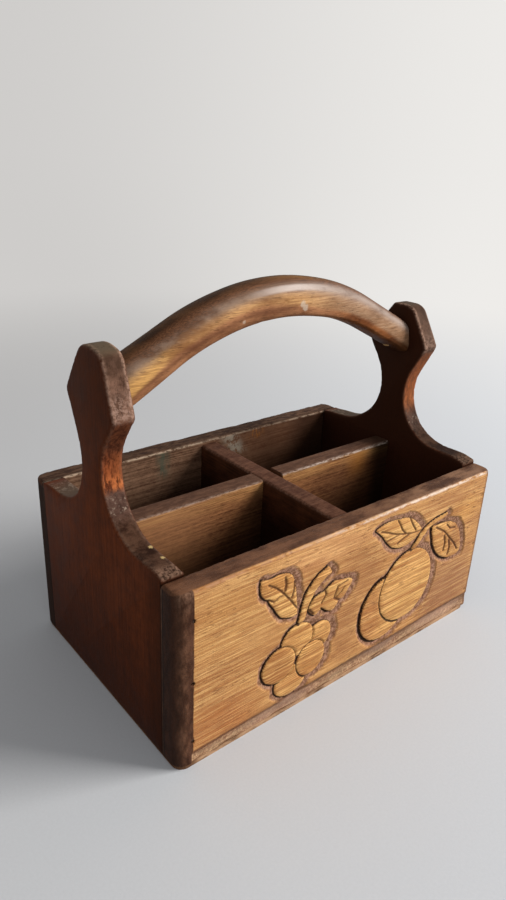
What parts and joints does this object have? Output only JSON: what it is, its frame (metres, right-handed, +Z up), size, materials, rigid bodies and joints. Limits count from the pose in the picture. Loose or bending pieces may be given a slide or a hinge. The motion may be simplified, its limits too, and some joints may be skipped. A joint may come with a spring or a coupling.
{
  "type": "carrying caddy",
  "caption": "Wooden table caddy: an open box divided into compartments, with shaped end boards and an arched carrying handle between them.",
  "frame": {"origin": "centre of the underside of the bottom board, on the surface that it stands on", "axes": "+Z up; +X along the bow handle, to the right of someone who faces the carved front; -Y out of the carved front"},
  "size_m": [0.28, 0.18, 0.2605],
  "materials": {
    "carved_front": "sanded and worn, stained in the cuts",
    "stained_boards": "dark stain, rubbed at the edges",
    "divider_boards": "brown stain, dull",
    "thin_panel": "raw brown panel",
    "worn_bow": "satin, polished by hands",
    "dowels": "raw",
    "nails": "dark, punched below the face"
  },
  "bodies": {
    "root": {"front_board": "carved_front", "back_board": "stained_boards", "left_end_board": "stained_boards", "right_end_board": "stained_boards", "bottom_board": "thin_panel", "long_divider": "divider_boards", "cross_divider": "divider_boards", "bow_handle": "worn_bow", "left_handle_dowel": "dowels", "right_handle_dowel": "dowels", "front_left_nails": "nails", "front_right_nails": "nails", "back_left_nails": "nails", "back_right_nails": "nails", "bottom_nails": "nails"}
  },
  "joints": []
}
